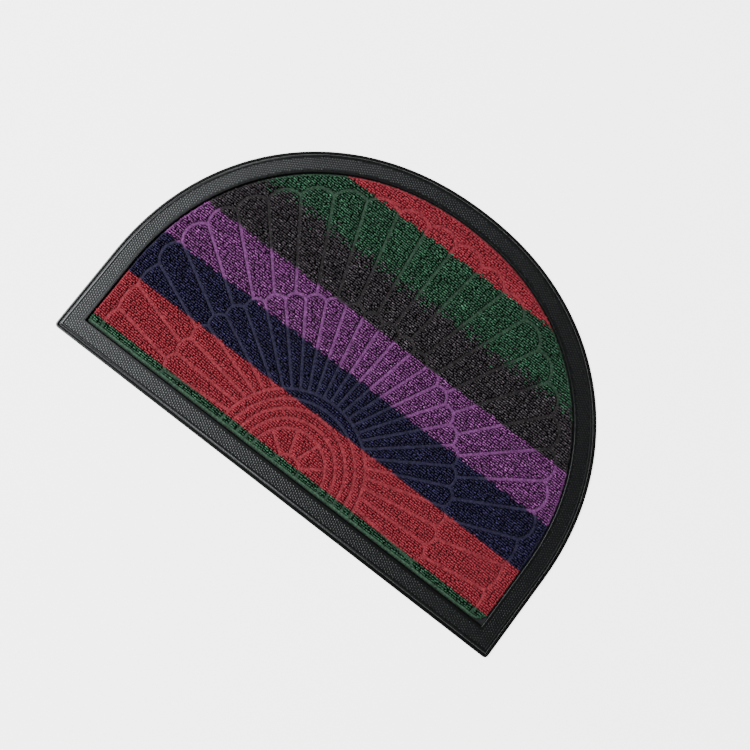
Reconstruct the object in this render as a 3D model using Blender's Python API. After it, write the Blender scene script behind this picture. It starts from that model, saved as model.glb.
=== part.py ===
"""Half-moon doormat: a moulded rubber tray with a raised border, and one loop-pile carpet insert.

The carpet is pressed with a fan of petals round a hub of rings. Its pile stands up as pads
between the pressed lines. Plan sizes are measured from the middle of the straight edge, with
+Y towards the arch, and each object is then moved so that the origin is at the middle of the
underside. Metres, +Z up.
"""
import math

import bmesh
import bpy

# Outline of the mat: straight edge, two straight sides and an arch
WIDTH = 0.600
DEPTH = 0.397
SIDE_LENGTH = 0.104
ARCH_POWER = 2.11
CORNER_RADIUS = 0.0046
ARCH_STEPS = 60
CORNER_STEPS = 4

# Rubber tray: a thin lip, a step up to the border, and two beads along the border
TRAY_FLOOR = 0.0018
LIP_WIDTH = 0.0040
BORDER_WIDTH = 0.0262
BORDER_TOP = 0.0054
BORDER_CHAMFER = 0.0008
BEAD_TOP = 0.0059
BEAD_CHAMFER = 0.0003
BEAD_SINK = 0.0010
OUTER_BEAD = (0.0052, 0.0070)
INNER_BEAD = (0.0231, 0.0249)

# Carpet insert: its backing lies in the tray and its pile stands level with the border
GAP_UNDER_CARPET = 0.0003
GAP_BESIDE_CARPET = 0.0005
PRESSED_TOP = 0.0046
PILE_TOP = 0.0062
PILE_CHAMFER = 0.0005
PAD_SINK = 0.0008
PAD_EDGE_STEP = 0.0005
CARPET_CORNER_LEFT = 0.0015
CARPET_CORNER_RIGHT = 0.0150

# Pressed lines of the fan
LINE_WIDTH = 0.0026
PILE_START = 0.0302
HUB_HEIGHT = 0.0299
HUB_RINGS = (0.0448, 0.0557, 0.0667, 0.0776, 0.0886)
HUB_CORE = 0.0159
HUB_WEDGES = 5
HUB_STEPS = 20
FAN_HEIGHT = 0.0521
PETAL_PITCH = math.radians(7.66)
PETALS_EACH_SIDE = 12
VALLEY_RADIUS = 0.1714
TIP_RADIUS = 0.1779
CAP_STEPS = 6
OUTER_PITCH = math.radians(7.38)
OUTER_SIDE_INSET = 0.0490
OUTER_TOP_INSET = 0.0520
OUTER_CAP_RISE = 0.0097
LOWEST_CAPS_FROM = 10
LOWEST_SIDE_INSET = 0.0455
LOWEST_CAP_RISE = 0.0038
SMALLEST_PAD = 0.00006
SHORTEST_SIDE = 0.0005

BASE_LINE = PILE_START - LINE_WIDTH / 2


def corner_arc(centre_x, centre_y, radius, start):
    """Quarter circle, counterclockwise from the angle start."""
    points = []
    for step in range(CORNER_STEPS + 1):
        angle = start + step / CORNER_STEPS * math.pi / 2
        points.append((centre_x + radius * math.cos(angle), centre_y + radius * math.sin(angle)))
    return points


def arch_points(half_width, rise, steps):
    """Superellipse arch from the right side over the top to the left side."""
    points = []
    for step in range(steps + 1):
        angle = math.pi * step / steps
        across = abs(math.cos(angle)) ** (2 / ARCH_POWER)
        up = abs(math.sin(angle)) ** (2 / ARCH_POWER)
        points.append((math.copysign(half_width * across, math.cos(angle)), SIDE_LENGTH + rise * up))
    return points


def mat_outline(inset, left_radius, right_radius):
    """Closed outline of the mat, drawn in by inset, counterclockwise from its right corner."""
    half = WIDTH / 2 - inset
    right = corner_arc(half - right_radius, inset + right_radius, right_radius, -math.pi / 2)
    arch = arch_points(half, DEPTH - SIDE_LENGTH - inset, ARCH_STEPS)
    left = corner_arc(left_radius - half, inset + left_radius, left_radius, math.pi)
    return right + arch + left


def tray_outline(inset):
    """Outline for the tray's own steps, with corners that sharpen inwards."""
    radius = max(CORNER_RADIUS - inset, 0.0008)
    return mat_outline(inset, radius, radius)


def carpet_outline(inset):
    """Outline of the carpet insert, whose right corner is cut round."""
    edge = BORDER_WIDTH + GAP_BESIDE_CARPET
    return mat_outline(edge + inset, CARPET_CORNER_LEFT, CARPET_CORNER_RIGHT)


def crossing(start, end, height):
    """Point where a segment crosses a height."""
    share = (height - start[1]) / (end[1] - start[1])
    return (start[0] + share * (end[0] - start[0]), height)


def cut_above(points, height, closed=True):
    """The part of an outline or path above a height, for one that dips below it once."""
    kept = []
    count = len(points)
    for index in range(count):
        point = points[index]
        if point[1] >= height:
            kept.append(point)
        if index + 1 == count and not closed:
            break
        following = points[(index + 1) % count]
        if (point[1] - height) * (following[1] - height) < 0:
            kept.append(crossing(point, following, height))
    return kept


def area_of(points):
    """Signed area of an outline, positive where it runs counterclockwise."""
    total = 0.0
    for (x0, y0), (x1, y1) in zip(points, points[1:] + points[:1]):
        total += x0 * y1 - x1 * y0
    return total / 2


def inset_outline(points, distance):
    """Each side of a counterclockwise outline moved inwards and joined to the next."""
    sides = []
    for (x0, y0), (x1, y1) in zip(points, points[1:] + points[:1]):
        length = math.hypot(x1 - x0, y1 - y0)
        if length < SHORTEST_SIDE:
            continue
        ux, uy = (x1 - x0) / length, (y1 - y0) / length
        sides.append((x0 - uy * distance, y0 + ux * distance, ux, uy))
    moved = []
    for (ax, ay, aux, auy), (bx, by, bux, buy) in zip(sides[-1:] + sides[:-1], sides):
        cross = aux * buy - auy * bux
        if abs(cross) < 0.001:
            moved.append((bx, by))
            continue
        along = ((bx - ax) * buy - (by - ay) * bux) / cross
        moved.append((ax + along * aux, ay + along * auy))
    return moved


def cap_points(start, end, rise):
    """Round cap from start to end, as an arc that bulges to the right of that way."""
    chord = math.hypot(end[0] - start[0], end[1] - start[1])
    radius = (chord * chord / 4 + rise * rise) / (2 * rise)
    ux, uy = (end[0] - start[0]) / chord, (end[1] - start[1]) / chord
    centre_x = (start[0] + end[0]) / 2 - uy * (radius - rise)
    centre_y = (start[1] + end[1]) / 2 + ux * (radius - rise)
    first = math.atan2(start[1] - centre_y, start[0] - centre_x)
    sweep = 2 * math.asin(min(1.0, chord / 2 / radius))
    points = []
    for step in range(CAP_STEPS + 1):
        angle = first + sweep * step / CAP_STEPS
        points.append((centre_x + radius * math.cos(angle), centre_y + radius * math.sin(angle)))
    return points


def fan_point(angle, radius):
    """Point of the fan at an angle from straight up, counted towards the left."""
    return (-radius * math.sin(angle), FAN_HEIGHT + radius * math.cos(angle))


def hub_end(angle):
    """Where a petal's line, which aims at the fan's centre, meets the hub's outer ring."""
    ux, uy = -math.sin(angle), math.cos(angle)
    lift = FAN_HEIGHT - HUB_HEIGHT
    outer = HUB_RINGS[-1]
    reach = -lift * uy + math.sqrt(outer * outer - lift * lift * (1 - uy * uy))
    return (reach * ux, FAN_HEIGHT + reach * uy)


def outer_node(index):
    """End of a second-row line: it lies on an arch drawn in from the mat's outline."""
    angle = OUTER_PITCH * index
    side_inset = LOWEST_SIDE_INSET if index > LOWEST_CAPS_FROM else OUTER_SIDE_INSET
    half = WIDTH / 2 - side_inset
    rise = DEPTH - SIDE_LENGTH - OUTER_TOP_INSET
    near, far = 0.0, WIDTH
    while far - near > 0.00001:
        middle = (near + far) / 2
        x, y = fan_point(angle, middle)
        up = max(0.0, y - SIDE_LENGTH) / rise
        if (abs(x) / half) ** ARCH_POWER + up ** ARCH_POWER < 1:
            near = middle
        else:
            far = middle
    return fan_point(angle, near)


def valley(index):
    """Point between the petals index and index + 1 of the first row."""
    return fan_point(PETAL_PITCH * (index + 0.5), VALLEY_RADIUS)


def petal_cap(index):
    """Round end of a first-row petal, from its right valley over the tip to its left valley."""
    return cap_points(valley(index - 1), valley(index), TIP_RADIUS - VALLEY_RADIUS * math.cos(PETAL_PITCH / 2))


def outer_cap(index):
    """Round end of a second-row petal, which is flatter in the lowest ones."""
    rise = LOWEST_CAP_RISE if index >= LOWEST_CAPS_FROM else OUTER_CAP_RISE
    return cap_points(outer_node(index), outer_node(index + 1), rise)


def first_row_petal(index):
    """Petal between two lines that start at the hub."""
    right = PETAL_PITCH * (index - 0.5)
    left = PETAL_PITCH * (index + 0.5)
    middle = hub_end((right + left) / 2)
    return [hub_end(right)] + petal_cap(index) + [hub_end(left), middle]


def lowest_first_row_petal():
    """Petal beside the hub that the straight edge cuts off."""
    index = PETALS_EACH_SIDE + 1
    cap = petal_cap(index)[: CAP_STEPS // 2 + 1]
    hub_x = -HUB_RINGS[-1]
    return [hub_end(PETAL_PITCH * (index - 0.5))] + cap + [(cap[-1][0], 0.0), (hub_x, 0.0)]


def second_row_petal(index):
    """Petal between the tips index and index + 1 of the first row and two outer nodes."""
    half = CAP_STEPS // 2
    left_half = petal_cap(index)[half:]
    right_half = petal_cap(index + 1)[: half + 1]
    inner = list(reversed(left_half + right_half[1:]))
    return outer_cap(index) + inner


def circle_piece(radius, start, end):
    """Arc about the hub's centre between two angles from the right-hand side."""
    points = []
    for step in range(HUB_STEPS + 1):
        angle = start + (end - start) * step / HUB_STEPS
        points.append((radius * math.cos(angle), HUB_HEIGHT + radius * math.sin(angle)))
    return points


def hub_arch(radius):
    """Arc about the hub's centre from base line to base line."""
    dip = math.asin((HUB_HEIGHT - BASE_LINE) / radius)
    return circle_piece(radius, -dip, math.pi + dip)


def hub_pads():
    """The hub's rings, the wedges inside them and the half-round core."""
    pads = []
    for inner, outer in zip(HUB_RINGS, HUB_RINGS[1:]):
        pads.append(hub_arch(outer) + hub_arch(inner)[::-1])
    for wedge in range(HUB_WEDGES):
        start = math.pi * wedge / HUB_WEDGES
        end = math.pi * (wedge + 1) / HUB_WEDGES
        if wedge == 0:
            start = -math.asin((HUB_HEIGHT - BASE_LINE) / HUB_RINGS[0])
        if wedge == HUB_WEDGES - 1:
            end = math.pi + math.asin((HUB_HEIGHT - BASE_LINE) / HUB_RINGS[0])
        outer = circle_piece(HUB_RINGS[0], start, end)[::4]
        inner = circle_piece(HUB_CORE, start, end)[::10]
        pads.append(cut_above(outer + inner[::-1], BASE_LINE))
    pads.append(hub_arch(HUB_CORE)[::2])
    return pads


def margin_pad():
    """Plain band of pile between the outer caps and the carpet's edge, open at the base."""
    outside = cut_above(carpet_outline(PAD_EDGE_STEP - LINE_WIDTH / 2), BASE_LINE)
    lowest = min(range(len(outside)), key=lambda item: (outside[item][1], -outside[item][0]))
    outside = outside[lowest:] + outside[:lowest]
    left = []
    for index in range(PETALS_EACH_SIDE + 1):
        left += outer_cap(index)[:-1]
    left = cut_above(left + outer_cap(PETALS_EACH_SIDE)[-1:], BASE_LINE, closed=False)
    right = [(-x, y) for x, y in left]
    return outside + left[::-1] + right[1:]


def pad_outlines():
    """Outlines of all raised pads, drawn in from the pressed lines' centres."""
    left = [first_row_petal(index) for index in range(1, PETALS_EACH_SIDE + 1)]
    left.append(lowest_first_row_petal())
    left += [second_row_petal(index) for index in range(PETALS_EACH_SIDE + 1)]
    left = [cut_above(points, BASE_LINE) for points in left]
    right = [[(-x, y) for x, y in reversed(points)] for points in left]
    whole = left + right + [first_row_petal(0)] + hub_pads() + [margin_pad()]
    inset = [inset_outline(points, LINE_WIDTH / 2) for points in whole]
    return [points for points in inset if area_of(points) > SMALLEST_PAD]


def new_collection(name):
    """Collection linked to the scene."""
    collection = bpy.data.collections.new(name)
    bpy.context.scene.collection.children.link(collection)
    return collection


def flat_piece(name, outlines, low, high, chamfer, collection):
    """Mesh object from flat outlines between two heights, with chamfered rims.

    An outline inside another one is a hole.
    """
    curve = bpy.data.curves.new(name, "CURVE")
    curve.dimensions = "2D"
    curve.fill_mode = "BOTH"
    curve.bevel_depth = chamfer
    curve.bevel_resolution = 0
    curve.offset = -chamfer
    curve.extrude = (high - low) / 2 - chamfer
    for points in outlines:
        spline = curve.splines.new("POLY")
        spline.points.add(len(points) - 1)
        for item, (x, y) in zip(spline.points, points):
            item.co = (x, y, 0.0, 1.0)
        spline.use_cyclic_u = True
    source = bpy.data.objects.new(name + "_curve", curve)
    source.location = (0.0, -DEPTH / 2, (low + high) / 2)
    collection.objects.link(source)
    bpy.context.view_layer.update()
    evaluated = source.evaluated_get(bpy.context.evaluated_depsgraph_get())
    mesh = bpy.data.meshes.new_from_object(evaluated)
    shape = bmesh.new()
    shape.from_mesh(mesh)
    bmesh.ops.remove_doubles(shape, verts=shape.verts, dist=0.000001)
    bmesh.ops.recalc_face_normals(shape, faces=shape.faces)
    shape.to_mesh(mesh)
    shape.free()
    mesh.name = name
    piece = bpy.data.objects.new(name, mesh)
    collection.objects.link(piece)
    piece.matrix_world = source.matrix_world.copy()
    bpy.data.objects.remove(source)
    return piece


def join_to(piece, addition):
    """Union of a helper piece into a part."""
    addition.hide_render = True
    addition.display_type = "WIRE"
    union = piece.modifiers.new(addition.name, "BOOLEAN")
    union.operation = "UNION"
    union.solver = "EXACT"
    union.object = addition


def finish(name, color, roughness):
    """Principled material with one colour."""
    material = bpy.data.materials.new(name)
    material.use_nodes = True
    shader = material.node_tree.nodes["Principled BSDF"]
    shader.inputs["Base Color"].default_value = (*color, 1.0)
    shader.inputs["Roughness"].default_value = roughness
    shader.inputs["Metallic"].default_value = 0.0
    return material


def rubber_base(parts, helpers):
    """Moulded rubber tray: floor and lip, raised border, and a bead along each of its rims."""
    tray = flat_piece("rubber_base", [tray_outline(0.0)], 0.0, TRAY_FLOOR, 0.0003, parts)
    rim = [tray_outline(LIP_WIDTH), tray_outline(BORDER_WIDTH)]
    low = TRAY_FLOOR / 2 - BORDER_CHAMFER
    border = flat_piece("border", rim, low, BORDER_TOP, BORDER_CHAMFER, helpers)
    join_to(tray, border)
    for name, (near, far) in (("outer_bead", OUTER_BEAD), ("inner_bead", INNER_BEAD)):
        rim = [tray_outline(near), tray_outline(far)]
        bead = flat_piece(name, rim, BORDER_TOP - BEAD_SINK, BEAD_TOP, BEAD_CHAMFER, helpers)
        join_to(tray, bead)
    tray.data.materials.append(finish("black_rubber", (0.016, 0.017, 0.019), 0.55))


def pile_field(parts, helpers):
    """Loop-pile carpet insert with its pressed fan."""
    low = TRAY_FLOOR + GAP_UNDER_CARPET
    carpet = flat_piece("pile_field", [carpet_outline(0.0)], low, PRESSED_TOP, 0.0, parts)
    pads = flat_piece("pads", pad_outlines(), PRESSED_TOP - PAD_SINK, PILE_TOP, PILE_CHAMFER, helpers)
    join_to(carpet, pads)
    carpet.data.materials.append(finish("loop_pile", (0.30, 0.03, 0.05), 0.95))


def main():
    """Clear the scene and build both pieces."""
    for item in list(bpy.data.objects):
        bpy.data.objects.remove(item)
    parts = new_collection("half_moon_doormat")
    helpers = new_collection("joined_shapes")
    rubber_base(parts, helpers)
    pile_field(parts, helpers)


main()
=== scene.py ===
"""Looks of the half-moon doormat: moulded rubber tray, knurled border and loop-pile carpet.

Plan sizes are measured from the middle of the straight edge, with y towards the arch. Meshes are
written in the row frame, whose origin is the middle of the underside. Metres, z up.
"""

import logging
import math
from dataclasses import dataclass, field
from enum import Enum
from functools import reduce

import bpy
import numpy as np
from mathutils import Matrix, Vector


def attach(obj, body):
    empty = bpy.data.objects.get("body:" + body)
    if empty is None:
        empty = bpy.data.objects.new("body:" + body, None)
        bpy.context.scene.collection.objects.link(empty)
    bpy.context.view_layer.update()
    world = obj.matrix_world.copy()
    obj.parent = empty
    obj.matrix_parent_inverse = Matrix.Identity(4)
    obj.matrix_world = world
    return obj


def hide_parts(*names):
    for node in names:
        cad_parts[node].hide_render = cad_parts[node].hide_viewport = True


LOG = logging.getLogger("doormat")
MAP_MARGIN = 0.005
TINY = 1e-12

# Short names of the types that many signatures share.
Array = np.ndarray
Pair = tuple[float, float]
Triple = tuple[float, float, float]
Piece = bpy.types.Object
Socket = bpy.types.NodeSocket


class Yarn(Enum):
    """Yarn colours of the carpet, each with the name its loops' material is built from."""

    RED = "red_yarn"
    NAVY = "navy_yarn"
    PURPLE = "purple_yarn"
    CHARCOAL = "charcoal_yarn"
    GREEN = "green_yarn"


@dataclass(frozen=True)
class YarnShade:
    """Linear colour of one yarn, standing in loops and pressed flat.

    contrast is the spread of the loops' own shades, as a share, foot how bright a loop's foot is
    beside its top, as painted shade, gloss the specular level of a loop, and ground how bright the
    ground under the loops is beside pressed yarn, as painted shade in the gaps between loops.
    """

    loop: Triple
    pressed: Triple
    contrast: float
    foot: float
    gloss: float
    ground: float = 0.15


# foot and ground are painted shade: the loops' feet and the ground between them are darkened.
SHADES: dict[Yarn, YarnShade] = {
    Yarn.RED: YarnShade((0.416, 0.046, 0.067), (0.215, 0.029, 0.039), 0.12, 0.58, 0.10, 0.42),
    Yarn.NAVY: YarnShade((0.036, 0.030, 0.088), (0.0215, 0.0195, 0.0425), 0.34, 0.03, 0.14),
    Yarn.PURPLE: YarnShade((0.293, 0.080, 0.293), (0.145, 0.044, 0.150), 0.32, 0.03, 0.13),
    Yarn.CHARCOAL: YarnShade((0.074, 0.064, 0.073), (0.0195, 0.0180, 0.0188), 0.42, 0.03, 0.20),
    Yarn.GREEN: YarnShade((0.050, 0.142, 0.080), (0.0255, 0.0525, 0.0335), 0.33, 0.03, 0.17),
}


@dataclass(frozen=True)
class Stripe:
    """One stripe of the carpet, from its lower edge up to the next stripe's.

    start is the plan height of the lower edge, tilt its rise per metre to the right, and blur
    half the depth over which the two yarns mix there.
    """

    piece: str
    yarn: Yarn
    start: float
    tilt: float = 0.0
    blur: float = 0.0008


STRIPES: tuple[Stripe, ...] = (
    Stripe("base_green_loops", Yarn.GREEN, 0.0000),
    Stripe("lower_red_loops", Yarn.RED, 0.0380, 0.0, 0.0004),
    Stripe("navy_loops", Yarn.NAVY, 0.0985),
    Stripe("purple_loops", Yarn.PURPLE, 0.1567),
    Stripe("charcoal_loops", Yarn.CHARCOAL, 0.2150, 0.005),
    Stripe("green_loops", Yarn.GREEN, 0.2745, 0.0, 0.0100),
    Stripe("upper_red_loops", Yarn.RED, 0.3348, 0.010, 0.0015),
)


def smooth_step(low: float, high: float, values: Array) -> Array:
    """Ease of values from 0 at low to 1 at high: 3 t squared less 2 t cubed."""
    share = np.clip((values - low) / (high - low), 0.0, 1.0)
    return share * share * (3.0 - 2.0 * share)


def round_points(angles: Array, power: float = 1.0) -> Array:
    """Plan points at angles: the cosine and the sine, each to a power but with its sign kept."""
    circle = np.stack([np.cos(angles), np.sin(angles)], axis=1)
    return np.sign(circle) * np.abs(circle) ** power


def plan_of(x: Array, y: Array) -> Array:
    """Plan points of shape (n, 2) from all their x and all their y."""
    return np.stack([np.ravel(x), np.ravel(y)], axis=1)


def arc_length(points: Array) -> Array:
    """Length along a path of shape (n, 2) up to each of its points, 0 at the first."""
    steps = np.hypot(*np.diff(points, axis=0).T)
    return np.concatenate([[0.0], np.cumsum(steps)])


def area_of(plan: Array) -> float:
    """Area of a closed plan outline by the shoelace rule, in square metres."""
    x, y = plan.T
    return float(abs(np.sum(x * np.roll(y, -1) - y * np.roll(x, -1))) / 2)


def resampled(points: Array, step: float) -> Array:
    """Path with even steps, by linear interpolation over its arc length.

    Args:
        points: Path of shape (n, 2).
        step: Wanted distance between points.

    Returns:
        Path of shape (m, 2) with the same ends.
    """
    lengths = arc_length(points)
    count = max(3, int(round(lengths[-1] / step)) + 1)
    wanted = np.linspace(0.0, lengths[-1], count)
    columns = [np.interp(wanted, lengths, points[:, axis]) for axis in (0, 1)]
    return np.stack(columns, axis=1)


def grid_quads(rows: int, columns: int, closed: bool, first: int = 0) -> Array:
    """Corner numbers of a grid's quads, point (r, c) being number r times columns plus c.

    Args:
        rows: Number of point rows.
        columns: Number of points in each row.
        closed: Whether each row's last point joins its first.
        first: Number of the grid's first point.

    Returns:
        Array of shape (quads, 4), wound along the row first.
    """
    across = np.arange(columns if closed else columns - 1)
    row, column = np.meshgrid(np.arange(rows - 1), across, indexing="ij")
    near = row * columns + column
    beside = row * columns + (column + 1) % columns
    quads = np.stack([near, beside, beside + columns, near + columns], axis=-1)
    return quads.reshape(-1, 4) + first


def capped_rings(base: Array, rings: tuple[Triple, ...]) -> tuple[Array, tuple[Array, Array]]:
    """Small bump of height 1: its base at several scales and heights, under an apex.

    Args:
        base: Plan points round the base, counterclockwise, of shape (sides, 2).
        rings: Scale along x, scale along y and height of each ring, from the lowest.

    Returns:
        Points of shape (n, 3), and the faces as a pair: wall quads and cap triangles.
    """
    sides = len(base)
    layers = [np.column_stack([base * (a, b), np.full(sides, z)]) for a, b, z in rings]
    points = np.concatenate([*layers, [[0.0, 0.0, 1.0]]])
    edge = np.arange(sides)
    last = (len(rings) - 1) * sides
    cap = np.column_stack([last + edge, last + (edge + 1) % sides, np.full(sides, len(points) - 1)])
    return points, (grid_quads(len(rings), sides, closed=True), cap)


def repeated(faces: tuple[Array, ...], count: int, points: int) -> list[Array]:
    """Faces of a shape with so many points, numbered on for count copies of it."""
    starts = np.arange(count)[:, None, None] * points
    return [(block[None] + starts).reshape(-1, block.shape[1]) for block in faces]


def new_piece(name: str, points: Array, faces: list[Array]) -> Piece:
    """Mesh object from whole arrays, put in the scene at the origin.

    Args:
        name: Name of the object and its mesh.
        points: Points of shape (n, 3), in the row frame.
        faces: Blocks of faces, each of shape (faces, corners).

    Returns:
        The object, shaded smooth.
    """
    sizes = np.concatenate([np.full(len(block), block.shape[1]) for block in faces])
    corners = np.concatenate([block.ravel() for block in faces]).astype(np.int32)
    starts = np.concatenate([[0], np.cumsum(sizes)[:-1]]).astype(np.int32)
    mesh = bpy.data.meshes.new(name)
    mesh.vertices.add(len(points))
    mesh.vertices.foreach_set("co", points.astype(np.float32).ravel())
    mesh.loops.add(len(corners))
    mesh.loops.foreach_set("vertex_index", corners)
    mesh.polygons.add(len(starts))
    mesh.polygons.foreach_set("loop_start", starts)
    mesh.update(calc_edges=True)
    mesh.validate()
    mesh.shade_smooth()
    piece = bpy.data.objects.new(name, mesh)
    bpy.context.scene.collection.objects.link(piece)
    return piece


def carried(name: str, rings: list[Array], sharp_angle: float) -> Piece:
    """Closed body from rings of points: walls between them, one face below and one above.

    Args:
        name: Piece's name.
        rings: Rings from the underside up, each of shape (n, 3).
        sharp_angle: Angle between two faces past which their edge is sharp.

    Returns:
        The piece.
    """
    count = len(rings[0])
    ring = np.arange(count)[None]
    walls = grid_quads(len(rings), count, closed=True)
    faces = [walls, ring[:, ::-1], (len(rings) - 1) * count + ring]
    piece = new_piece(name, np.concatenate(rings), faces)
    piece.data.set_sharp_from_angle(angle=sharp_angle)
    return piece


def put_on(piece: Piece, material: bpy.types.Material) -> None:
    """Give a piece its material, and let it ride the one body.

    Args:
        piece: Built piece.
        material: Its material.
    """
    piece.data.materials.append(material)
    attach(piece, "root")


def add_plan_map(piece: Piece) -> None:
    """Give a piece a flat UV map to bake through: plan x and y over its own box.

    Args:
        piece: Object with a mesh.
    """
    mesh = piece.data
    points = np.empty(len(mesh.vertices) * 3, np.float32)
    mesh.vertices.foreach_get("co", points)
    plan = points.reshape(-1, 3)[:, :2]
    low, high = plan.min(axis=0), plan.max(axis=0)
    corners = np.empty(len(mesh.loops), np.int32)
    mesh.loops.foreach_get("vertex_index", corners)
    flat = MAP_MARGIN + (1.0 - 2.0 * MAP_MARGIN) * (plan - low) / (high - low).max()
    layer = mesh.uv_layers.new(name="OFBake")
    layer.uv.foreach_set("vector", flat[corners].astype(np.float32).ravel())


def add_values(piece: Piece, name: str, values: Array) -> None:
    """Store one number per point as a mesh attribute."""
    layer = piece.data.attributes.new(name, "FLOAT", "POINT")
    layer.data.foreach_set("value", values.astype(np.float32))


class Nodes:
    """Small helper that adds and joins shader nodes in a new material."""

    def __init__(self, name: str) -> None:
        """Start a material with one Principled shader.

        Args:
            name: Material's name.
        """
        self.material = bpy.data.materials.new(name)
        self.material.use_nodes = True
        self.tree = self.material.node_tree
        self.shader = self.tree.nodes["Principled BSDF"]

    def add(self, kind: str, **settings: object) -> bpy.types.Node:
        """Add one node, feed its inputs and set its own properties.

        Args:
            kind: Node type without the ShaderNode prefix.
            settings: Values or outputs for its inputs, and its properties, by name.

        Returns:
            The new node.
        """
        node = self.tree.nodes.new("ShaderNode" + kind)
        for key, value in settings.items():
            if key in node.inputs:
                self.join(value, node.inputs[key])
            else:
                setattr(node, key, value)
        return node

    def join(self, source: object, target: Socket) -> None:
        """Link an output to an input, or set the input where the source is a value.

        Args:
            source: Output or value.
            target: Input.
        """
        if isinstance(source, Socket):
            self.tree.links.new(source, target)
        else:
            target.default_value = source

    def maths(self, operation: str, first: object, second: object = 0.0) -> Socket:
        """Add a Math node.

        Args:
            operation: Math operation's name.
            first: First value or output.
            second: Second value or output.

        Returns:
            The result's socket.
        """
        node = self.add("Math", operation=operation)
        self.join(first, node.inputs[0])
        self.join(second, node.inputs[1])
        return node.outputs[0]

    def place(self) -> Socket:
        """Socket with the point's place in the object, in metres."""
        return self.add("TexCoord").outputs["Object"]

    def noise(self, scale: float, detail: float = 3.0) -> Socket:
        """Socket with noise on Object coordinates: its repeats per metre and its octaves."""
        return self.add("TexNoise", Vector=self.place(), Scale=scale, Detail=detail).outputs[0]

    def value(self, name: str) -> Socket:
        """Socket with a mesh attribute's value."""
        return self.add("Attribute", attribute_name=name).outputs["Fac"]

    def spread(self, source: object, low: float, high: float) -> Socket:
        """Socket with a value mapped from 0 and 1 to low and high, past its ends too."""
        return self.maths("ADD", self.maths("MULTIPLY", source, high - low), low)

    def product(self, *factors: object) -> Socket:
        """Socket with the product of all values and outputs."""
        return reduce(lambda first, second: self.maths("MULTIPLY", first, second), factors)

    def tint(self, color: object, shade: Socket) -> None:
        """Feed the base colour: a linear colour, or its socket, times a shade."""
        scaled = self.add("VectorMath", operation="SCALE", Vector=color, Scale=shade)
        self.set(Base_Color=scaled.outputs[0])

    def bump(self, height: Socket, strength: float, depth: float) -> None:
        """Feed the normal: a height of 0 to 1, the effect's share and the metres for a 1."""
        node = self.add("Bump", Strength=strength, Distance=depth, Height=height)
        self.set(Normal=node.outputs[0])

    def set(self, **values: object) -> None:
        """Feed the shader's own inputs, with _ for a space in their names."""
        for key, value in values.items():
            self.join(value, self.shader.inputs[key.replace("_", " ")])


@dataclass(frozen=True)
class RubberFinish:
    """Black moulded rubber: nearly black, glossy where it is rubbed, dull in hollows and painted
    darker there as painted shade.

    dust is the range of its shade, roughness that of its patches, and grain the bump's depth.
    """

    name: str = "moulded_rubber"
    gloss: float = 0.34
    color: Triple = (0.0060, 0.0062, 0.0064)
    sheen: Triple = (0.92, 0.97, 1.0)
    dust_scale: float = 60.0
    dust: Pair = (0.65, 1.35)
    patch_scale: float = 220.0
    roughness: Pair = (0.24, 0.32)
    hollow_painted_shade: float = 0.15
    hollow_roughness: float = 0.30
    grain_scale: float = 2600.0
    grain_share: float = 0.6
    grain: float = 0.00005

    def build(self) -> bpy.types.Material:
        """Make the material.

        Returns:
            The rubber's material.
        """
        nodes = Nodes(self.name)
        hollow = nodes.value("hollow")
        dust = nodes.spread(nodes.noise(self.dust_scale, detail=4.0), *self.dust)
        # Painted shade: the rubber's colour darkens in hollows, down to the hollows' painted shade
        # share.
        nodes.tint(self.color, nodes.product(dust, nodes.spread(hollow, 1.0, self.hollow_painted_shade)))
        patches = nodes.spread(nodes.noise(self.patch_scale), *self.roughness)
        dull = nodes.product(hollow, self.hollow_roughness)
        nodes.set(Roughness=nodes.maths("ADD", patches, dull))
        nodes.set(Specular_IOR_Level=self.gloss, Specular_Tint=(*self.sheen, 1.0))
        nodes.bump(nodes.noise(self.grain_scale), self.grain_share, self.grain)
        return nodes.material


@dataclass(frozen=True)
class LoopFinish:
    """Bulky two-ply yarn standing in a loop, with painted shade towards its foot, twist and fibres.
    """

    yarn: Yarn
    roughness: float = 0.42
    fibre_scale: float = 2200.0
    fibre_shades: Pair = (0.62, 1.38)
    twist_scale: float = 5200.0
    ply_shades: Pair = (0.80, 1.08)
    bump_share: float = 0.55
    bump_depth: float = 0.00022

    def build(self) -> bpy.types.Material:
        """Make the material: the loops' own shade, painted shade by their height squared, and twist.

        Returns:
            The yarn's material.
        """
        yarn = SHADES[self.yarn]
        nodes = Nodes(self.yarn.value + "_loops")
        # Painted shade: each loop darkens towards its foot by the square of its rise, down to the
        # foot share.
        rise = nodes.spread(nodes.maths("POWER", nodes.value("rise"), 2.0), yarn.foot, 1.0)
        fibres = nodes.noise(self.fibre_scale)
        twist = nodes.maths("SINE", nodes.product(nodes.value("twist"), self.twist_scale))
        plies = nodes.maths("ABSOLUTE", twist)
        fibre_shade = nodes.spread(fibres, *self.fibre_shades)
        ply_shade = nodes.spread(plies, *self.ply_shades)
        nodes.tint(yarn.loop, nodes.product(nodes.value("shade"), rise, fibre_shade, ply_shade))
        nodes.set(Roughness=self.roughness, Specular_IOR_Level=yarn.gloss)
        nodes.bump(nodes.maths("ADD", fibres, plies), self.bump_share, self.bump_depth)
        return nodes.material


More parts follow.
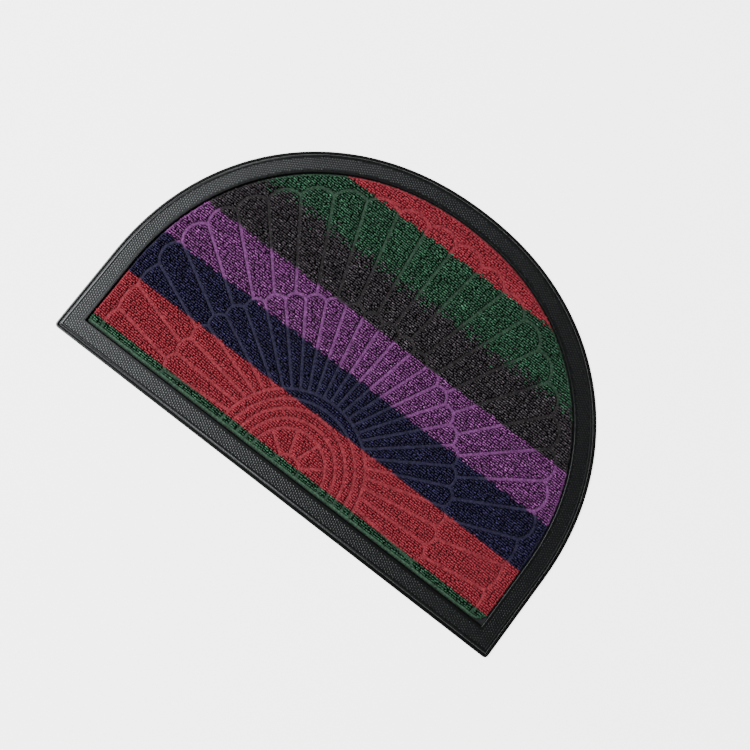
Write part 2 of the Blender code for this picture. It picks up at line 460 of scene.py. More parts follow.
@dataclass(frozen=True)
class StripedFinish:
    """Carpet face in the stripes' colours, for pressed yarn or, darker as painted shade, the ground
    between loops.
    """

    name: str
    own_shade: bool = False
    with_painted_gap_shade: bool = False
    roughness: float = 0.62
    gloss: float = 0.06
    least_blur: float = 0.0006
    wander_scale: float = 260.0
    edge_wander: float = 0.0016
    fibre_scale: float = 430.0
    fibre_shades: Pair = (-0.30, 2.30)
    patch_scale: float = 110.0
    patch_shades: Pair = (0.70, 1.30)
    bump_share: float = 0.5
    bump_depth: float = 0.00020

    def color_of(self, yarn: Yarn) -> tuple[float, ...]:
        """Linear colour of one yarn; under the loops it is darker by the yarn's ground share, as
        painted shade.
        """
        share = SHADES[yarn].ground if self.with_painted_gap_shade else 1.0
        return tuple(share * part for part in SHADES[yarn].pressed)

    def stops(self) -> list[tuple[float, tuple[float, ...]]]:
        """Colour stops over the plan height: two where stripes meet, blur to either side.

        Returns:
            Pairs of plan height and colour, in rising order.
        """
        found = []
        for below, above in zip(STRIPES, STRIPES[1:]):
            blur = max(above.blur, self.least_blur)
            found.append((above.start - blur, self.color_of(below.yarn)))
            found.append((above.start + blur, self.color_of(above.yarn)))
        return found

    def build(self) -> bpy.types.Material:
        """Make the material: a colour ramp over y, wavering by noise along the edges.

        Returns:
            The striped material.
        """
        nodes = Nodes(self.name)
        wander = nodes.noise(self.wander_scale, detail=2.0)
        wander = nodes.spread(wander, -self.edge_wander, self.edge_wander)
        split = nodes.add("SeparateXYZ", Vector=nodes.place())
        height = nodes.maths("ADD", split.outputs["Y"], wander)
        depth = MatOutline().depth
        share = nodes.maths("DIVIDE", nodes.maths("ADD", height, depth / 2), depth)
        ramp = nodes.add("ValToRGB", Fac=share)
        places = self.stops()
        while len(ramp.color_ramp.elements) < len(places):
            ramp.color_ramp.elements.new(0.5)
        for stop, (place, color) in zip(ramp.color_ramp.elements, places):
            stop.position = place / depth
            stop.color = (*color, 1.0)
        fibres = nodes.noise(self.fibre_scale)
        patches = nodes.noise(self.patch_scale, detail=2.0)
        fibre_shade = nodes.spread(fibres, *self.fibre_shades)
        shade = nodes.product(fibre_shade, nodes.spread(patches, *self.patch_shades))
        if self.own_shade:
            shade = nodes.product(shade, nodes.value("shade"))
        nodes.tint(ramp.outputs[0], shade)
        nodes.set(Roughness=self.roughness, Specular_IOR_Level=self.gloss)
        nodes.bump(nodes.maths("ADD", fibres, patches), self.bump_share, self.bump_depth)
        return nodes.material


@dataclass(frozen=True)
class MatOutline:
    """Half-moon outline: straight edge, two straight sides and a superellipse arch."""

    width: float = 0.600
    depth: float = 0.397
    side_length: float = 0.104
    power: float = 2.11
    arch_steps: int = 440
    corner_steps: int = 6
    insets_searched: Pair = (-0.01, 0.28)
    halvings: int = 22

    def corner(self, x: float, y: float, radius: float, start: float) -> Array:
        """Points of a quarter circle about (x, y), counterclockwise from the angle start."""
        angles = start + np.linspace(0.0, math.pi / 2, self.corner_steps + 1)
        return np.array([x, y]) + radius * round_points(angles)

    def ring(self, inset: float, left_radius: float, right_radius: float) -> Array:
        """Outline drawn in by inset, counterclockwise from the right corner.

        The arch is x = a cos^(2/p) t and y = side + b sin^(2/p) t, with a and b less the inset.

        Args:
            inset: Distance from the mat's edge all round.
            left_radius: Radius of the left corner.
            right_radius: Radius of the right corner.

        Returns:
            Points of shape (n, 2), the same number for every inset.
        """
        half = self.width / 2 - inset
        rise = self.depth - self.side_length - inset
        right = self.corner(half - right_radius, inset + right_radius, right_radius, -math.pi / 2)
        left = self.corner(left_radius - half, inset + left_radius, left_radius, math.pi)
        turn = np.linspace(0.0, math.pi, self.arch_steps + 1)
        arch = round_points(turn, 2 / self.power) * (half, rise) + (0.0, self.side_length)
        return np.concatenate([right, arch, left])

    def inset_of(self, x: Array, y: Array) -> Array:
        """Inset of the outline that passes through each point, found by halving the interval.

        Args:
            x: Plan x of the points.
            y: Plan y of the points.

        Returns:
            Array of insets, negative outside the mat.
        """
        near = np.full(x.shape, self.insets_searched[0])
        far = np.full(x.shape, self.insets_searched[1])
        up = np.maximum(0.0, y - self.side_length)
        for _ in range(self.halvings):
            middle = (near + far) / 2
            across = np.abs(x) / (self.width / 2 - middle)
            rise = up / (self.depth - self.side_length - middle)
            inside = across**self.power + rise**self.power < 1.0
            near = np.where(inside, middle, near)
            far = np.where(inside, far, middle)
        return np.minimum(near, y)

    def to_row(self, plan: Array, z: Array) -> Array:
        """Points of the row frame from plan points: y less half the depth, and one z or many."""
        heights = np.broadcast_to(z, plan.shape[:1])
        return np.stack([plan[:, 0], plan[:, 1] - self.depth / 2, heights], axis=1)


@dataclass
class RubberTray:
    """Moulded tray: lip, step, rounded shoulder, flat band, smooth strip, wall and recess floor."""

    outline: MatOutline = field(default_factory=MatOutline)
    corner_radius: float = 0.0046
    smallest_radius: float = 0.0008
    sharp_angle: float = math.radians(48)
    band_height: float = 0.0055
    profile: tuple[Pair, ...] = (
        (0.0005, 0.0000), (0.0001, 0.0002), (0.0000, 0.0006), (0.0001, 0.0014), (0.0004, 0.0018),
        (0.0008, 0.0019), (0.0026, 0.0020), (0.0030, 0.0018), (0.0032, 0.0012), (0.0033, 0.0005),
        (0.0045, 0.0005), (0.0046, 0.0044), (0.0048, 0.0049), (0.0051, 0.00515), (0.0056, 0.00538),
        (0.0063, 0.00563), (0.0069, 0.00577), (0.0073, 0.00581), (0.0077, 0.00575), (0.0081, 0.00557),
        (0.0084, 0.00550), (0.0086, 0.00550), (0.0218, 0.00550), (0.0222, 0.00550), (0.0246, 0.00550),
        (0.0250, 0.00545), (0.0252, 0.0052), (0.0254, 0.0046), (0.0256, 0.0036), (0.0257, 0.0020),
        (0.0262, 0.0018),
    )
    # Hollows by inset range and weight: groove, band between domes and gap by the carpet; there the
    # rubber gets painted shade and more roughness.
    hollows: tuple[Triple, ...] = (
        (0.0031, 0.0047, 1.0),
        (0.0085, 0.0219, 0.8),
        (0.0251, 0.0263, 1.0),
    )

    def ring(self, inset: float) -> Array:
        """Points of the outline at an inset, whose corners sharpen inwards."""
        radius = max(self.corner_radius - inset, self.smallest_radius)
        return self.outline.ring(inset, radius, radius)

    def build(self) -> Piece:
        """Carry the section round the outline, and mark its rings that lie in hollows, for painted
        shade and roughness.

        Returns:
            The tray.
        """
        rings = [self.outline.to_row(self.ring(inset), z) for inset, z in self.profile]
        tray = carried("rubber_tray", rings, self.sharp_angle)
        insets = np.array([inset for inset, _ in self.profile])
        hollow = np.zeros(len(insets))
        for near, far, depth in self.hollows:
            hollow = np.maximum(hollow, depth * ((insets > near) & (insets < far)))
        add_values(tray, "hollow", np.repeat(hollow, len(rings[0])))
        return tray

    def dress(self, tray: Piece, rubber: bpy.types.Material) -> None:
        """Put rubber on the tray and let it stand for the CAD solid."""
        put_on(tray, rubber)
        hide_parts("rubber_base")


@dataclass
class KnurledBand:
    """Small domes moulded on the border's flat band, in staggered rows fixed to the mat's axes."""

    tray: RubberTray = field(default_factory=RubberTray)
    row_pitch: float = 0.00154
    column_pitch: float = 0.00252
    across: float = 0.00118
    along: float = 0.00104
    height: float = 0.00017
    near: float = 0.0087
    far: float = 0.0218
    sides: int = 8
    rings: tuple[Triple, ...] = (
        (1.00, 1.00, -0.25),
        (0.85, 0.85, 0.26),
        (0.36, 0.36, 0.86),
    )

    def centres(self) -> Array:
        """Staggered lattice: every second point of a fine grid, kept where the band is.

        Returns:
            Plan points of shape (n, 2).
        """
        half = int(self.tray.outline.width / 2 / self.column_pitch) + 1
        rows = int(self.tray.outline.depth / self.row_pitch) + 1
        column, row = np.meshgrid(np.arange(-half, half + 1), np.arange(rows + 1))
        kept = (column + row) % 2 == 0
        x = column[kept] * self.column_pitch
        y = row[kept] * self.row_pitch
        inset = self.tray.outline.inset_of(x, y)
        return plan_of(x, y)[(inset > self.near) & (inset < self.far)]

    def build(self) -> Piece:
        """Repeat one dome, made of rings of an ellipse under an apex, at every centre.

        Returns:
            All domes as one piece.
        """
        turn = np.arange(self.sides) / self.sides * 2 * math.pi
        dome, faces = capped_rings(round_points(turn), self.rings)
        dome = dome * (self.across, self.along, self.height)
        base = self.tray.outline.to_row(self.centres(), self.tray.band_height)
        points = (base[:, None, :] + dome[None]).reshape(-1, 3)
        piece = new_piece("knurled_band", points, repeated(faces, len(base), len(dome)))
        add_plan_map(piece)
        return piece

    def dress(self, piece: Piece, rubber: bpy.types.Material) -> None:
        """Put rubber on the domes."""
        put_on(piece, rubber)


@dataclass
class PressedFan:
    """Centre lines of the pressed pattern: two rows of petals round a hub of rings."""

    outline: MatOutline = field(default_factory=MatOutline)
    base_line: float = 0.0289
    hub_height: float = 0.0299
    hub_rings: tuple[float, ...] = (0.0159, 0.0448, 0.0557, 0.0667, 0.0776, 0.0886)
    wedges: int = 5
    fan_height: float = 0.0521
    petal_pitch: float = math.radians(7.66)
    petals_each_side: int = 12
    valley_radius: float = 0.1714
    tip_radius: float = 0.1779
    outer_pitch: float = math.radians(7.38)
    outer_side_inset: float = 0.0490
    outer_top_inset: float = 0.0520
    outer_cap_rise: float = 0.0097
    lowest_caps_from: int = 10
    lowest_side_inset: float = 0.0455
    lowest_cap_rise: float = 0.0038
    outer_search: Pair = (0.15, 0.35)
    outer_search_steps: int = 4001
    cap_points: int = 25
    ring_points: int = 97
    step: float = 0.0018
    below_base: float = 0.001
    on_axis: float = 0.0001

    def fan_point(self, angle: float, radius: float) -> Array:
        """Plan point about the fan's centre, its angle counted from straight up to the left."""
        return np.array([-radius * math.sin(angle), self.fan_height + radius * math.cos(angle)])

    def hub_end(self, angle: float) -> Array:
        """Where a line that aims at the fan's centre meets the hub's outer ring: a quadratic's root.

        Args:
            angle: Angle from straight up.

        Returns:
            Plan point of shape (2,).
        """
        lift = self.fan_height - self.hub_height
        outer = self.hub_rings[-1]
        reach = -lift * math.cos(angle) + math.sqrt(outer**2 - (lift * math.sin(angle)) ** 2)
        return self.fan_point(angle, reach)

    def outer_node(self, index: int) -> Array:
        """End of a second-row line, on an arch drawn in from the outline.

        Args:
            index: Line's number from the middle.

        Returns:
            Plan point of shape (2,).
        """
        angle = self.outer_pitch * index
        radii = np.linspace(*self.outer_search, self.outer_search_steps)
        x = -radii * math.sin(angle)
        y = self.fan_height + radii * math.cos(angle)
        lowest = index > self.lowest_caps_from
        side_inset = self.lowest_side_inset if lowest else self.outer_side_inset
        half = self.outline.width / 2 - side_inset
        rise = self.outline.depth - self.outline.side_length - self.outer_top_inset
        up = np.maximum(0.0, y - self.outline.side_length) / rise
        reach = (np.abs(x) / half) ** self.outline.power + up**self.outline.power
        return self.fan_point(angle, float(np.interp(1.0, reach, radii)))

    def cap(self, start: Array, end: Array, rise: float) -> Array:
        """Round cap over a chord: a circle's arc that bulges to the right of its way.

        Args:
            start: First end.
            end: Last end.
            rise: Height of the arc over its chord.

        Returns:
            Points of shape (n, 2).
        """
        chord = float(np.hypot(*(end - start)))
        radius = (chord * chord / 4 + rise * rise) / (2 * rise)
        along = (end - start) / chord
        centre = (start + end) / 2 + np.array([-along[1], along[0]]) * (radius - rise)
        first = math.atan2(*(start - centre)[::-1])
        sweep = 2 * math.asin(min(1.0, chord / 2 / radius))
        return centre + radius * round_points(first + np.linspace(0.0, sweep, self.cap_points))

    @property
    def petal_cap_rise(self) -> float:
        """Height of a first-row cap over the chord between its valleys."""
        return self.tip_radius - self.valley_radius * math.cos(self.petal_pitch / 2)

    def petal_lines(self) -> list[Array]:
        """Lines and caps of both rows of petals, on the left half.

        Returns:
            Paths, each of shape (n, 2).
        """
        found = []
        for index in range(self.petals_each_side + 1):
            angle = self.petal_pitch * (index + 0.5)
            valley = self.fan_point(angle, self.valley_radius)
            found.append(np.stack([self.hub_end(angle), valley]))
            following = self.fan_point(angle + self.petal_pitch, self.valley_radius)
            found.append(self.cap(valley, following, self.petal_cap_rise))
            tip = self.fan_point(self.petal_pitch * index, self.tip_radius)
            found.append(np.stack([tip, self.outer_node(index)]))
            rise = self.lowest_cap_rise if index >= self.lowest_caps_from else self.outer_cap_rise
            found.append(self.cap(self.outer_node(index), self.outer_node(index + 1), rise))
        return found

    def middle_lines(self) -> list[Array]:
        """The middle petal's cap, the hub's rings and the lines between its wedges.

        Returns:
            Paths, each of shape (n, 2).
        """
        ends = [self.fan_point(side * self.petal_pitch / 2, self.valley_radius) for side in (-1, 1)]
        found = [self.cap(*ends, self.petal_cap_rise)]
        hub = np.array([0.0, self.hub_height])
        for radius in self.hub_rings:
            dip = math.asin((self.hub_height - self.base_line) / radius)
            turn = np.linspace(-dip, math.pi + dip, self.ring_points)
            found.append(hub + radius * round_points(turn))
        for wedge in range(1, self.wedges):
            angle = math.pi * wedge / self.wedges
            way = np.array([math.cos(angle), math.sin(angle)])
            found.append(hub + np.outer(self.hub_rings[:2], way))
        return found

    def paths(self) -> list[Array]:
        """All pressed lines, cut off below the base line.

        Returns:
            Paths, each of shape (n, 2).
        """
        left = self.petal_lines()
        mirrored = [path * np.array([-1.0, 1.0]) for path in left[1:]]
        mirrored = [path for path in mirrored if abs(path[:, 0]).max() > self.on_axis]
        whole = left + [left[0] * np.array([-1.0, 1.0])] + mirrored + self.middle_lines()
        fine = [resampled(path, self.step) for path in whole]
        kept = [path[path[:, 1] > self.base_line - self.below_base] for path in fine]
        return [path for path in kept if len(path) > 2]


@dataclass
class PileMap:
    """Distance from the pressed lines over the whole carpet, on a fine plan grid.

    last_cell is how far short of the grid's end a place is read, in cells: a hair over one.
    """

    fan: PressedFan
    cell: float = 0.0003
    reach: float = 0.0050
    low: Pair = (-0.285, 0.020)
    high: Pair = (0.285, 0.380)
    last_cell: float = 1.001
    grid: Array = field(default_factory=lambda: np.zeros((1, 1)))

    def build(self) -> "PileMap":
        """Fill the grid: each segment lowers the distance in the window round it.

        The distance to a segment is that to its nearest point, found by clamping the projection.

        Returns:
            The map itself.
        """
        columns = int((self.high[0] - self.low[0]) / self.cell) + 1
        rows = int((self.high[1] - self.low[1]) / self.cell) + 1
        self.grid = np.full((rows, columns), self.reach)
        for path in self.fan.paths():
            for start, end in zip(path[:-1:2], np.concatenate([path[2::2], path[-1:]])):
                self.lower(start, end)
        return self

    def lower(self, start: Array, end: Array) -> None:
        """Lower the distance round one segment.

        Args:
            start: Segment's first end.
            end: Segment's last end.
        """
        first = (np.minimum(start, end) - self.reach - self.low) / self.cell
        last = (np.maximum(start, end) + self.reach - self.low) / self.cell
        c0, r0 = np.maximum(first, 0).astype(int)
        c1, r1 = np.maximum(last, 0).astype(int) + 1
        window = self.grid[r0:r1, c0:c1]
        x = self.low[0] + self.cell * (c0 + np.arange(window.shape[1]))[None, :]
        y = self.low[1] + self.cell * (r0 + np.arange(window.shape[0]))[:, None]
        way = end - start
        share = ((x - start[0]) * way[0] + (y - start[1]) * way[1]) / max(float(way @ way), TINY)
        share = np.clip(share, 0.0, 1.0)
        distance = np.hypot(x - start[0] - share * way[0], y - start[1] - share * way[1])
        np.minimum(window, distance, out=window)

    def line_distance(self, x: Array, y: Array) -> Array:
        """Distance to the nearest line's centre, read from the grid between its points.

        Args:
            x: Plan x.
            y: Plan y.

        Returns:
            Distances, at most the map's reach.
        """
        rows, columns = self.grid.shape
        column = np.clip((x - self.low[0]) / self.cell, 0, columns - self.last_cell)
        row = np.clip((y - self.low[1]) / self.cell, 0, rows - self.last_cell)
        c, r = column.astype(int), row.astype(int)
        u, v = column - c, row - r
        lower = self.grid[r, c] * (1 - u) + self.grid[r, c + 1] * u
        upper = self.grid[r + 1, c] * (1 - u) + self.grid[r + 1, c + 1] * u
        return lower * (1 - v) + upper * v


@dataclass
class Carpet:
    """Carpet insert: its ground with the pressed rim, the pressed lines and where loops stand.

    The base strip stops strip_ends short of the sides and strip_inset short of the edge, runs
    strip_overlap under the pads, and is never narrower than strip_least.
    """

    outline: MatOutline = field(default_factory=MatOutline)
    fan: PressedFan = field(default_factory=PressedFan)
    border: float = 0.0269
    left_radius: float = 0.0015
    right_radius: float = 0.0150
    smallest_radius: float = 0.0004
    sharp_angle: float = math.radians(50)
    pile_start: float = 0.0302
    rim_width: float = 0.0004
    line_half: float = 0.0014
    crossing_lift: float = 0.000004
    crossing_levels: int = 7
    strip_shade: float = 1.7
    strip_ends: Pair = (0.0014, 0.0068)
    strip_steps: int = 300
    strip_inset: float = 0.0010
    strip_overlap: float = 0.0004
    strip_least: float = 0.0002
    section: tuple[Pair, ...] = (
        (0.0004, 0.0021),
        (0.0000, 0.0023),
        (0.0000, 0.0033),
        (0.0003, 0.0039),
        (0.0007, 0.0041),
        (0.0015, 0.0041),
        (0.0021, 0.0036),
    )
    line_section: tuple[Pair, ...] = (
        (-0.00195, 0.00345),
        (-0.00142, 0.00396),
        (-0.00070, 0.00404),
        (0.00000, 0.00407),
        (0.00070, 0.00404),
        (0.00142, 0.00396),
        (0.00195, 0.00345),
    )
    strip_section: tuple[Pair, ...] = (
        (0.00, 0.00345),
        (0.25, 0.00404),
        (0.50, 0.00408),
        (0.85, 0.00406),
        (1.00, 0.00395),
    )

    def ring(self, inset: float) -> Array:
        """Points of the carpet's outline, drawn in by inset from its edge."""
        left = max(self.left_radius - inset, self.smallest_radius)
        return self.outline.ring(self.border + inset, left, self.right_radius - inset)

    def edge_distance(self, x: Array, y: Array) -> Array:
        """Distance from the carpet's edge inwards, with the right corner's round.

        Args:
            x: Plan x.
            y: Plan y.

        Returns:
            Distances, negative outside.
        """
        inside = self.outline.inset_of(x, y) - self.border
        right = self.outline.width / 2 - self.border - self.right_radius
        up = self.border + self.right_radius
        round_edge = self.right_radius - np.hypot(x - right, y - up)
        in_corner = (x > right) & (y < up)
        return np.where(in_corner, round_edge, inside)

    def build_ground(self) -> Piece:
        """Ground of the carpet: the edge's section carried round the outline."""
        rings = [self.outline.to_row(self.ring(inset), z) for inset, z in self.section]
        return carried("carpet_ground", rings, self.sharp_angle)

    def line_grid(self, path: Array, lift: float) -> Array:
        """Surface of one pressed line: its section carried along the path, square to it.

        Args:
            path: Path of shape (n, 2).
            lift: Height added to the section.

        Returns:
            Points of shape (n, section, 3), in the row frame.
        """
        way = np.gradient(path, axis=0)
        way /= np.maximum(np.hypot(way[:, 0], way[:, 1]), TINY)[:, None]
        across = np.stack([way[:, 1], -way[:, 0]], axis=1)
        layers = [
            self.outline.to_row(path + across * offset, z + lift)
            for offset, z in self.line_section
        ]
        return np.stack(layers, axis=1)

    def base_strip(self) -> Array:
        """Pressed strip along the straight edge, from where the pile starts to the carpet's edge.

        Point (i, k) lies at x i, a share k down to the edge, which rises along the corner's round.

        Returns:
            Points of shape (n, section, 3), in the row frame.
        """
        right = self.outline.width / 2 - self.border
        left_end, right_end = self.strip_ends
        x = np.linspace(left_end - right, right - right_end, self.strip_steps)
        over = np.maximum(0.0, x - right + self.right_radius)
        corner = self.right_radius - np.sqrt(self.right_radius**2 - over**2)
        upper = self.pile_start + self.strip_overlap
        lower = np.minimum(self.border + self.strip_inset + corner, upper - self.strip_least)
        layers = [
            self.outline.to_row(plan_of(x, upper + (lower - upper) * share), z)
            for share, z in self.strip_section
        ]
        return np.stack(layers, axis=1)

    def build_lines(self) -> Piece:
        """All pressed lines as one piece, each laid a hair over the last where they cross.

        Returns:
            The pressed lines.
        """
        grids = []
        for index, path in enumerate(self.fan.paths()):
            grids.append(self.line_grid(path, self.crossing_lift * (index % self.crossing_levels)))
        grids.append(self.base_strip())
        points, faces, shades, first = [], [], [], 0
        for grid in grids:
            rows, columns = grid.shape[:2]
            faces.append(grid_quads(rows, columns, closed=False, first=first))
            points.append(grid.reshape(-1, 3))
            shades.append(np.ones(rows * columns))
            first += rows * columns
        shades[-1] *= self.strip_shade
        piece = new_piece("pressed_lines", np.concatenate(points), faces)
        add_values(piece, "shade", np.concatenate(shades))
        add_plan_map(piece)
        return piece

    def dress(
        self,
        ground: Piece,
        lines: Piece,
        loops: list[Piece],
        tray: Piece,
    ) -> None:
        """Args:
            ground: The built ground.
            lines: The pressed lines.
            loops: The pieces of loop pile; not used.
            tray: The rubber tray; not used.
        """
        put_on(ground, StripedFinish("pressed_yarn").build())
        put_on(lines, StripedFinish("pressed_lines", own_shade=True).build())
        # Painted shade: the ground's top, seen only between the loops, gets a darker copy of the
        # pressed yarn.
        dark = StripedFinish("ground_with_painted_gap_shade", with_painted_gap_shade=True, roughness=0.95).build()
        ground.data.materials.append(dark)
        ground.data.polygons[-1].material_index = 1
        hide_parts("pile_field")
        area_of(self.ring(0.0))


@dataclass
class LoopPile:
    """Tufted loops in columns across the mat, standing on the pads between pressed lines.

    lattice is the width and depth that the columns and stitches fill, before they are cut.
    A spread is a standard deviation: of a loop's turn in radians, of its sizes as shares and of
    its lean in metres, as drift and stray are of its place, and stripe_stray of a stripe's edge
    as a share of its blur. Each of the eases from a line into the pad has a start, an end and a
    share of the height. flat is the reach over which yarn that lies flat, with its own rise and
    shade, becomes a loop. The rise is painted shade, darker towards a loop's foot, and beside the
    flat yarn a painted shadow darkens it further.
    """

    carpet: Carpet
    pile_map: PileMap
    gauge: float = 0.003175
    stitch: float = 0.00250
    lattice: Pair = (0.56, 0.36)
    first_row: float = 0.0268
    row_drift: float = 0.00010
    stray: Pair = (0.00050, 0.00014)
    stripe_stray: float = 0.6
    half_across: float = 0.00172
    half_along: float = 0.00100
    turn_spread: float = 0.14
    across_spread: float = 0.07
    along_spread: float = 0.08
    height_share: float = 0.93
    height_spread: float = 0.07
    least_height: float = 0.72
    lean_spread: float = 0.00022
    foot: float = 0.0033
    top: float = 0.0062
    pressed_share: float = 0.29
    eases: tuple[Triple, ...] = ((-0.0003, 0.0011, 0.60), (0.0, 0.0038, 0.40))
    flat: Pair = (-0.0004, 0.0005)
    flat_rise: float = 0.85
    flat_shade: float = 0.52
    flat_own_shade: float = 0.3
    shadow_place: float = 0.0009
    shadow_half: float = 0.0006
    shadow_depth: float = 0.35
    ply_slant: Pair = (0.75, 0.66)
    edge_room: float = 0.0006
    line_core: float = 0.0004
    squareness: float = 0.8
    sides: int = 8
    seed: int = 11
    rings: tuple[Triple, ...] = (
        (1.00, 1.00, 0.00),
        (0.97, 0.80, 0.60),
        (0.80, 0.40, 0.93),
    )

    def centres(self, random: np.random.Generator) -> Array:
        """Loop centres: columns a gauge apart, stitches along them, each a little astray.

        Args:
            random: Seeded source of random numbers.

        Returns:
            Plan points of shape (n, 2).
        """
        columns = int(self.lattice[0] / self.gauge / 2)
        rows = int(self.lattice[1] / self.stitch)
        column, row = np.meshgrid(np.arange(-columns, columns + 1), np.arange(rows))
        drift = random.normal(0.0, self.row_drift, column.shape[1])[None, :]
        sway = random.normal(0.0, self.row_drift, row.shape[0])[:, None]
        x = (column + 0.5) * self.gauge + random.normal(0.0, self.stray[0], column.shape)
        y = self.first_row + row * self.stitch + drift + sway
        return plan_of(x, y + random.normal(0.0, self.stray[1], column.shape))

    def clearance(self, x: Array, y: Array) -> Array:
        """Distance into the pad from its nearest pressed line, strip or rim.

        Args:
            x: Plan x.
            y: Plan y.

        Returns:
            Distances, negative on what is pressed.
        """
        lines = self.pile_map.line_distance(x, y) - self.carpet.line_half
        rim = self.carpet.edge_distance(x, y) - self.carpet.rim_width
        base = y - self.carpet.pile_start
        return np.minimum(np.minimum(lines, rim), base)

    def stripe_of(self, centres: Array, random: np.random.Generator) -> Array:
        """Stripe number of each loop: how many tilted, ragged edges lie below it.

        Args:
            centres: Plan points of shape (n, 2).
            random: Seeded source of random numbers.

        Returns:
            Whole numbers, one per loop.
        """
        number = np.zeros(len(centres), int)
        for stripe in STRIPES[1:]:
            stray = random.normal(0.0, self.stripe_stray, len(centres)) * stripe.blur
            edge = stripe.start + stripe.tilt * centres[:, 0] + stray
            number += centres[:, 1] > edge
        return number

    def one_loop(self) -> tuple[Array, tuple[Array, Array]]:
        """Loop of height 1: rounded oblongs that narrow faster along the stitch, to a ridge."""
        turn = (np.arange(self.sides) + 0.5) / self.sides * 2 * math.pi
        return capped_rings(round_points(turn, self.squareness), self.rings)

    def build(self) -> list[Piece]:
        """Stand all loops, one piece per stripe.

        Returns:
            The pieces of loop pile, in the stripes' order.
        """
        random = np.random.default_rng(self.seed)
        centres = self.centres(random)
        inside = self.carpet.edge_distance(centres[:, 0], centres[:, 1]) > self.edge_room
        off_line = self.pile_map.line_distance(centres[:, 0], centres[:, 1]) > self.line_core
        centres = centres[inside & off_line]
        number = self.stripe_of(centres, random)
        return [
            self.build_stripe(stripe, centres[number == index], random)
            for index, stripe in enumerate(STRIPES)
        ]

    def build_stripe(
        self, stripe: Stripe, centres: Array, random: np.random.Generator
    ) -> Piece:
        """Loops of one stripe: the shape turned, scaled and leant, then pressed near the lines.

        A point's height is the foot plus its share of the loop's height, times an ease from the
        pressed share on a line up to 1. Its rise, painted shade in the material, is that share, less
        a bell of painted shadow by a line.

        Args:
            stripe: The loops' stripe.
            centres: Plan points of shape (n, 2).
            random: Seeded source of random numbers.

        Returns:
            The piece.
        """
        shape, faces = self.one_loop()
        count = len(centres)
        turn = random.normal(0.0, self.turn_spread, count)[:, None]
        wide = self.half_across * random.normal(1.0, self.across_spread, count)[:, None]
        long = self.half_along * random.normal(1.0, self.along_spread, count)[:, None]
        tall = random.normal(self.height_share, self.height_spread, count)
        tall = tall.clip(self.least_height, 1.0)[:, None]
        lean = random.normal(0.0, self.lean_spread, (count, 2))
        u, v, up = shape[None, :, 0] * wide, shape[None, :, 1] * long, shape[None, :, 2]
        x = centres[:, :1] + u * np.cos(turn) - v * np.sin(turn) + lean[:, :1] * up
        y = centres[:, 1:] + u * np.sin(turn) + v * np.cos(turn) + lean[:, 1:] * up
        room = self.clearance(x, y)
        free = sum(share * smooth_step(start, end, room) for start, end, share in self.eases)
        ease = self.pressed_share + (1.0 - self.pressed_share) * free
        z = self.foot + (self.top - self.foot) * up * tall * ease
        points = self.carpet.outline.to_row(plan_of(x, y), z.ravel())
        piece = new_piece(stripe.piece, points, repeated(faces, count, len(shape)))
        spread = SHADES[stripe.yarn].contrast
        own_shade = np.exp(random.normal(-spread * spread / 2, spread, count))[:, None]
        # Painted shade: rise darkens each loop towards its foot, and a painted shadow bell lies
        # beside the lines.
        flat = 1.0 - smooth_step(*self.flat, room)
        bell = np.exp(-(((room - self.shadow_place) / self.shadow_half) ** 2))
        rise = up * (1.0 - self.shadow_depth * bell) * (1.0 - flat) + self.flat_rise * flat
        shade = own_shade * (1.0 - (1.0 - self.flat_own_shade) * flat) + self.flat_shade * flat
        add_values(piece, "rise", rise.ravel())
        add_values(piece, "shade", shade.ravel())
        add_values(piece, "twist", (self.ply_slant[0] * u + self.ply_slant[1] * v).ravel())
        add_plan_map(piece)
        return piece

    def dress(self, pieces: list[Piece]) -> None:
        """Give each piece its yarn, in the stripes' order."""
        finishes = {yarn: LoopFinish(yarn).build() for yarn in Yarn}
        for piece, stripe in zip(pieces, STRIPES):
            put_on(piece, finishes[stripe.yarn])


@dataclass(frozen=True)
class Lamp:
    """Rectangular light that looks at the mat's middle, with its two sides and power in watts."""

    name: str
    place: Triple
    size: Pair
    power: float

    def build(self) -> None:
        """Hang the light."""
        data = bpy.data.lights.new(self.name, "AREA")
        data.shape = "RECTANGLE"
        data.size, data.size_y = self.size
        data.energy = self.power
        light = bpy.data.objects.new(self.name, data)
        light.location = self.place
        light.rotation_euler = (-Vector(self.place)).to_track_quat("-Z", "Y").to_euler()
        bpy.context.scene.collection.objects.link(light)


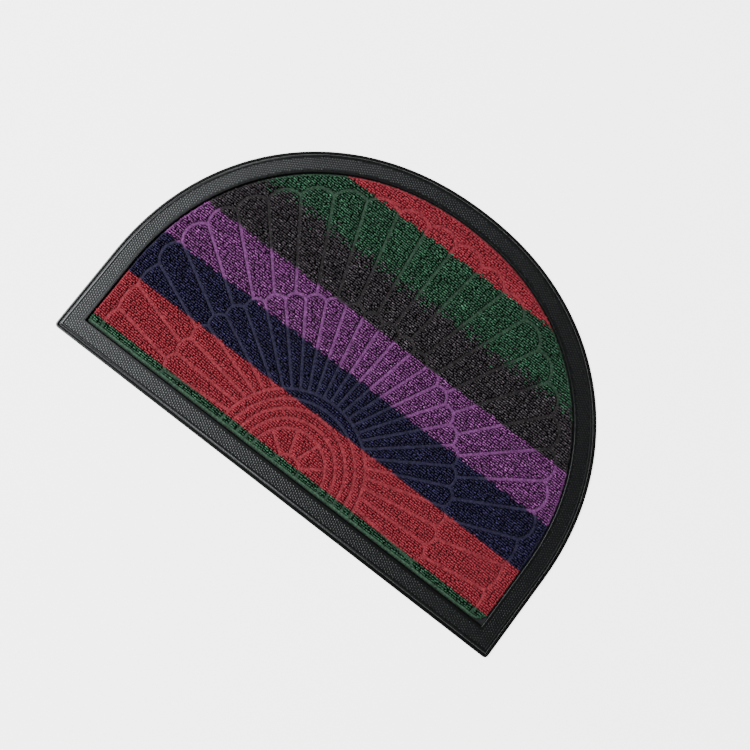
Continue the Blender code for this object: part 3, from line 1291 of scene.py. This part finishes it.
@dataclass
class Studio:
    """Pale floor, a large soft light from the left with three smaller ones, and the camera."""

    floor_half: float = 3.0
    floor_drop: float = 0.0001
    floor_shade: float = 0.86
    floor_glow: float = 3.5
    floor_roughness: float = 0.9
    floor_gloss: float = 0.2
    lamps: tuple[Lamp, ...] = (
        Lamp("key", (-2.20, -0.50, 2.45), (1.5, 1.8), 180.0),
        Lamp("window", (-0.38, -2.1, 1.7), (0.75, 0.75), 32.0),
        Lamp("side", (-2.3, 1.5, 1.6), (0.6, 0.6), 12.0),
        Lamp("fill", (2.6, 2.0, 2.4), (1.0, 1.0), 4.0),
    )
    world_strength: float = 0.035
    lens: float = 43.2
    sensor: float = 36.0
    nearest: float = 0.01
    camera_place: Triple = (0.04773, -0.11849, 0.99988)
    camera_right: Triple = (0.79348359, 0.60778888, 0.03124861)
    camera_up: Triple = (-0.60776417, 0.78868286, 0.09274729)
    camera_back: Triple = (0.03172552, -0.09258524, 0.99519921)

    def build_floor(self) -> None:
        """Lay a plain pale floor just under the mat."""
        half = self.floor_half
        corners = np.array([[-half, -half], [half, -half], [half, half], [-half, half]])
        points = np.concatenate([corners, np.full((4, 1), -self.floor_drop)], axis=1)
        floor = new_piece("studio_floor", points, [np.array([[0, 1, 2, 3]])])
        nodes = Nodes("studio_floor")
        nodes.set(
            Base_Color=(self.floor_shade, self.floor_shade, self.floor_shade, 1.0),
            Roughness=self.floor_roughness,
            Specular_IOR_Level=self.floor_gloss,
            Emission_Color=(1.0, 1.0, 1.0, 1.0),
            Emission_Strength=self.floor_glow,
        )
        floor.data.materials.append(nodes.material)

    def build_lights(self) -> None:
        """Hang all lamps and set the even light of the room."""
        for lamp in self.lamps:
            lamp.build()
        world = bpy.data.worlds.new("studio")
        world.use_nodes = True
        background = world.node_tree.nodes["Background"]
        background.inputs["Color"].default_value = (1.0, 1.0, 1.0, 1.0)
        background.inputs["Strength"].default_value = self.world_strength
        bpy.context.scene.world = world

    def build_camera(self) -> None:
        """Set the camera where the photograph was taken from."""
        data = bpy.data.cameras.new("camera")
        data.lens = self.lens
        data.sensor_width = self.sensor
        data.clip_start = self.nearest
        camera = bpy.data.objects.new("camera", data)
        turn = Matrix((self.camera_right, self.camera_up, self.camera_back)).transposed()
        camera.matrix_world = Matrix.Translation(self.camera_place) @ turn.to_4x4()
        bpy.context.scene.collection.objects.link(camera)
        bpy.context.scene.camera = camera

    def build(self) -> None:
        """Make the whole studio."""
        self.build_camera()
        self.build_floor()
        self.build_lights()


def report(piece: Piece) -> None:
    """Log a piece's name and triangles."""
    piece.data.calc_loop_triangles()
    LOG.info("%s: %d triangles", piece.name, len(piece.data.loop_triangles))


def main() -> None:
    """Build and dress the mat, piece by piece, then the studio."""
    logging.basicConfig(level=logging.INFO, format="%(name)s: %(message)s")
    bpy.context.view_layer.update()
    Studio().build()
    rubber = RubberFinish().build()
    rubbed = RubberFinish("rubbed_rubber", gloss=0.60, roughness=(0.27, 0.35)).build()
    tray_maker = RubberTray()
    tray = tray_maker.build()
    tray_maker.dress(tray, rubber)
    band_maker = KnurledBand(tray_maker)
    band = band_maker.build()
    band_maker.dress(band, rubbed)
    carpet = Carpet()
    pile_map = PileMap(carpet.fan).build()
    pile = LoopPile(carpet, pile_map)
    loops = pile.build()
    pile.dress(loops)
    ground = carpet.build_ground()
    lines = carpet.build_lines()
    carpet.dress(ground, lines, loops, tray)
    for piece in (tray, band, ground, lines, *loops):
        report(piece)


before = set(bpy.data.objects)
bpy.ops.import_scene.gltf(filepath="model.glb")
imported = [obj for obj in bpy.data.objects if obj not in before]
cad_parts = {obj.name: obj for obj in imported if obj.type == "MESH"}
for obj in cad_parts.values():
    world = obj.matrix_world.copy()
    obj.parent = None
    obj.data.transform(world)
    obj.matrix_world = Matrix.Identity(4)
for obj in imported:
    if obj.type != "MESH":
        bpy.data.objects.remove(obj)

if __name__ == "__main__":
    main()
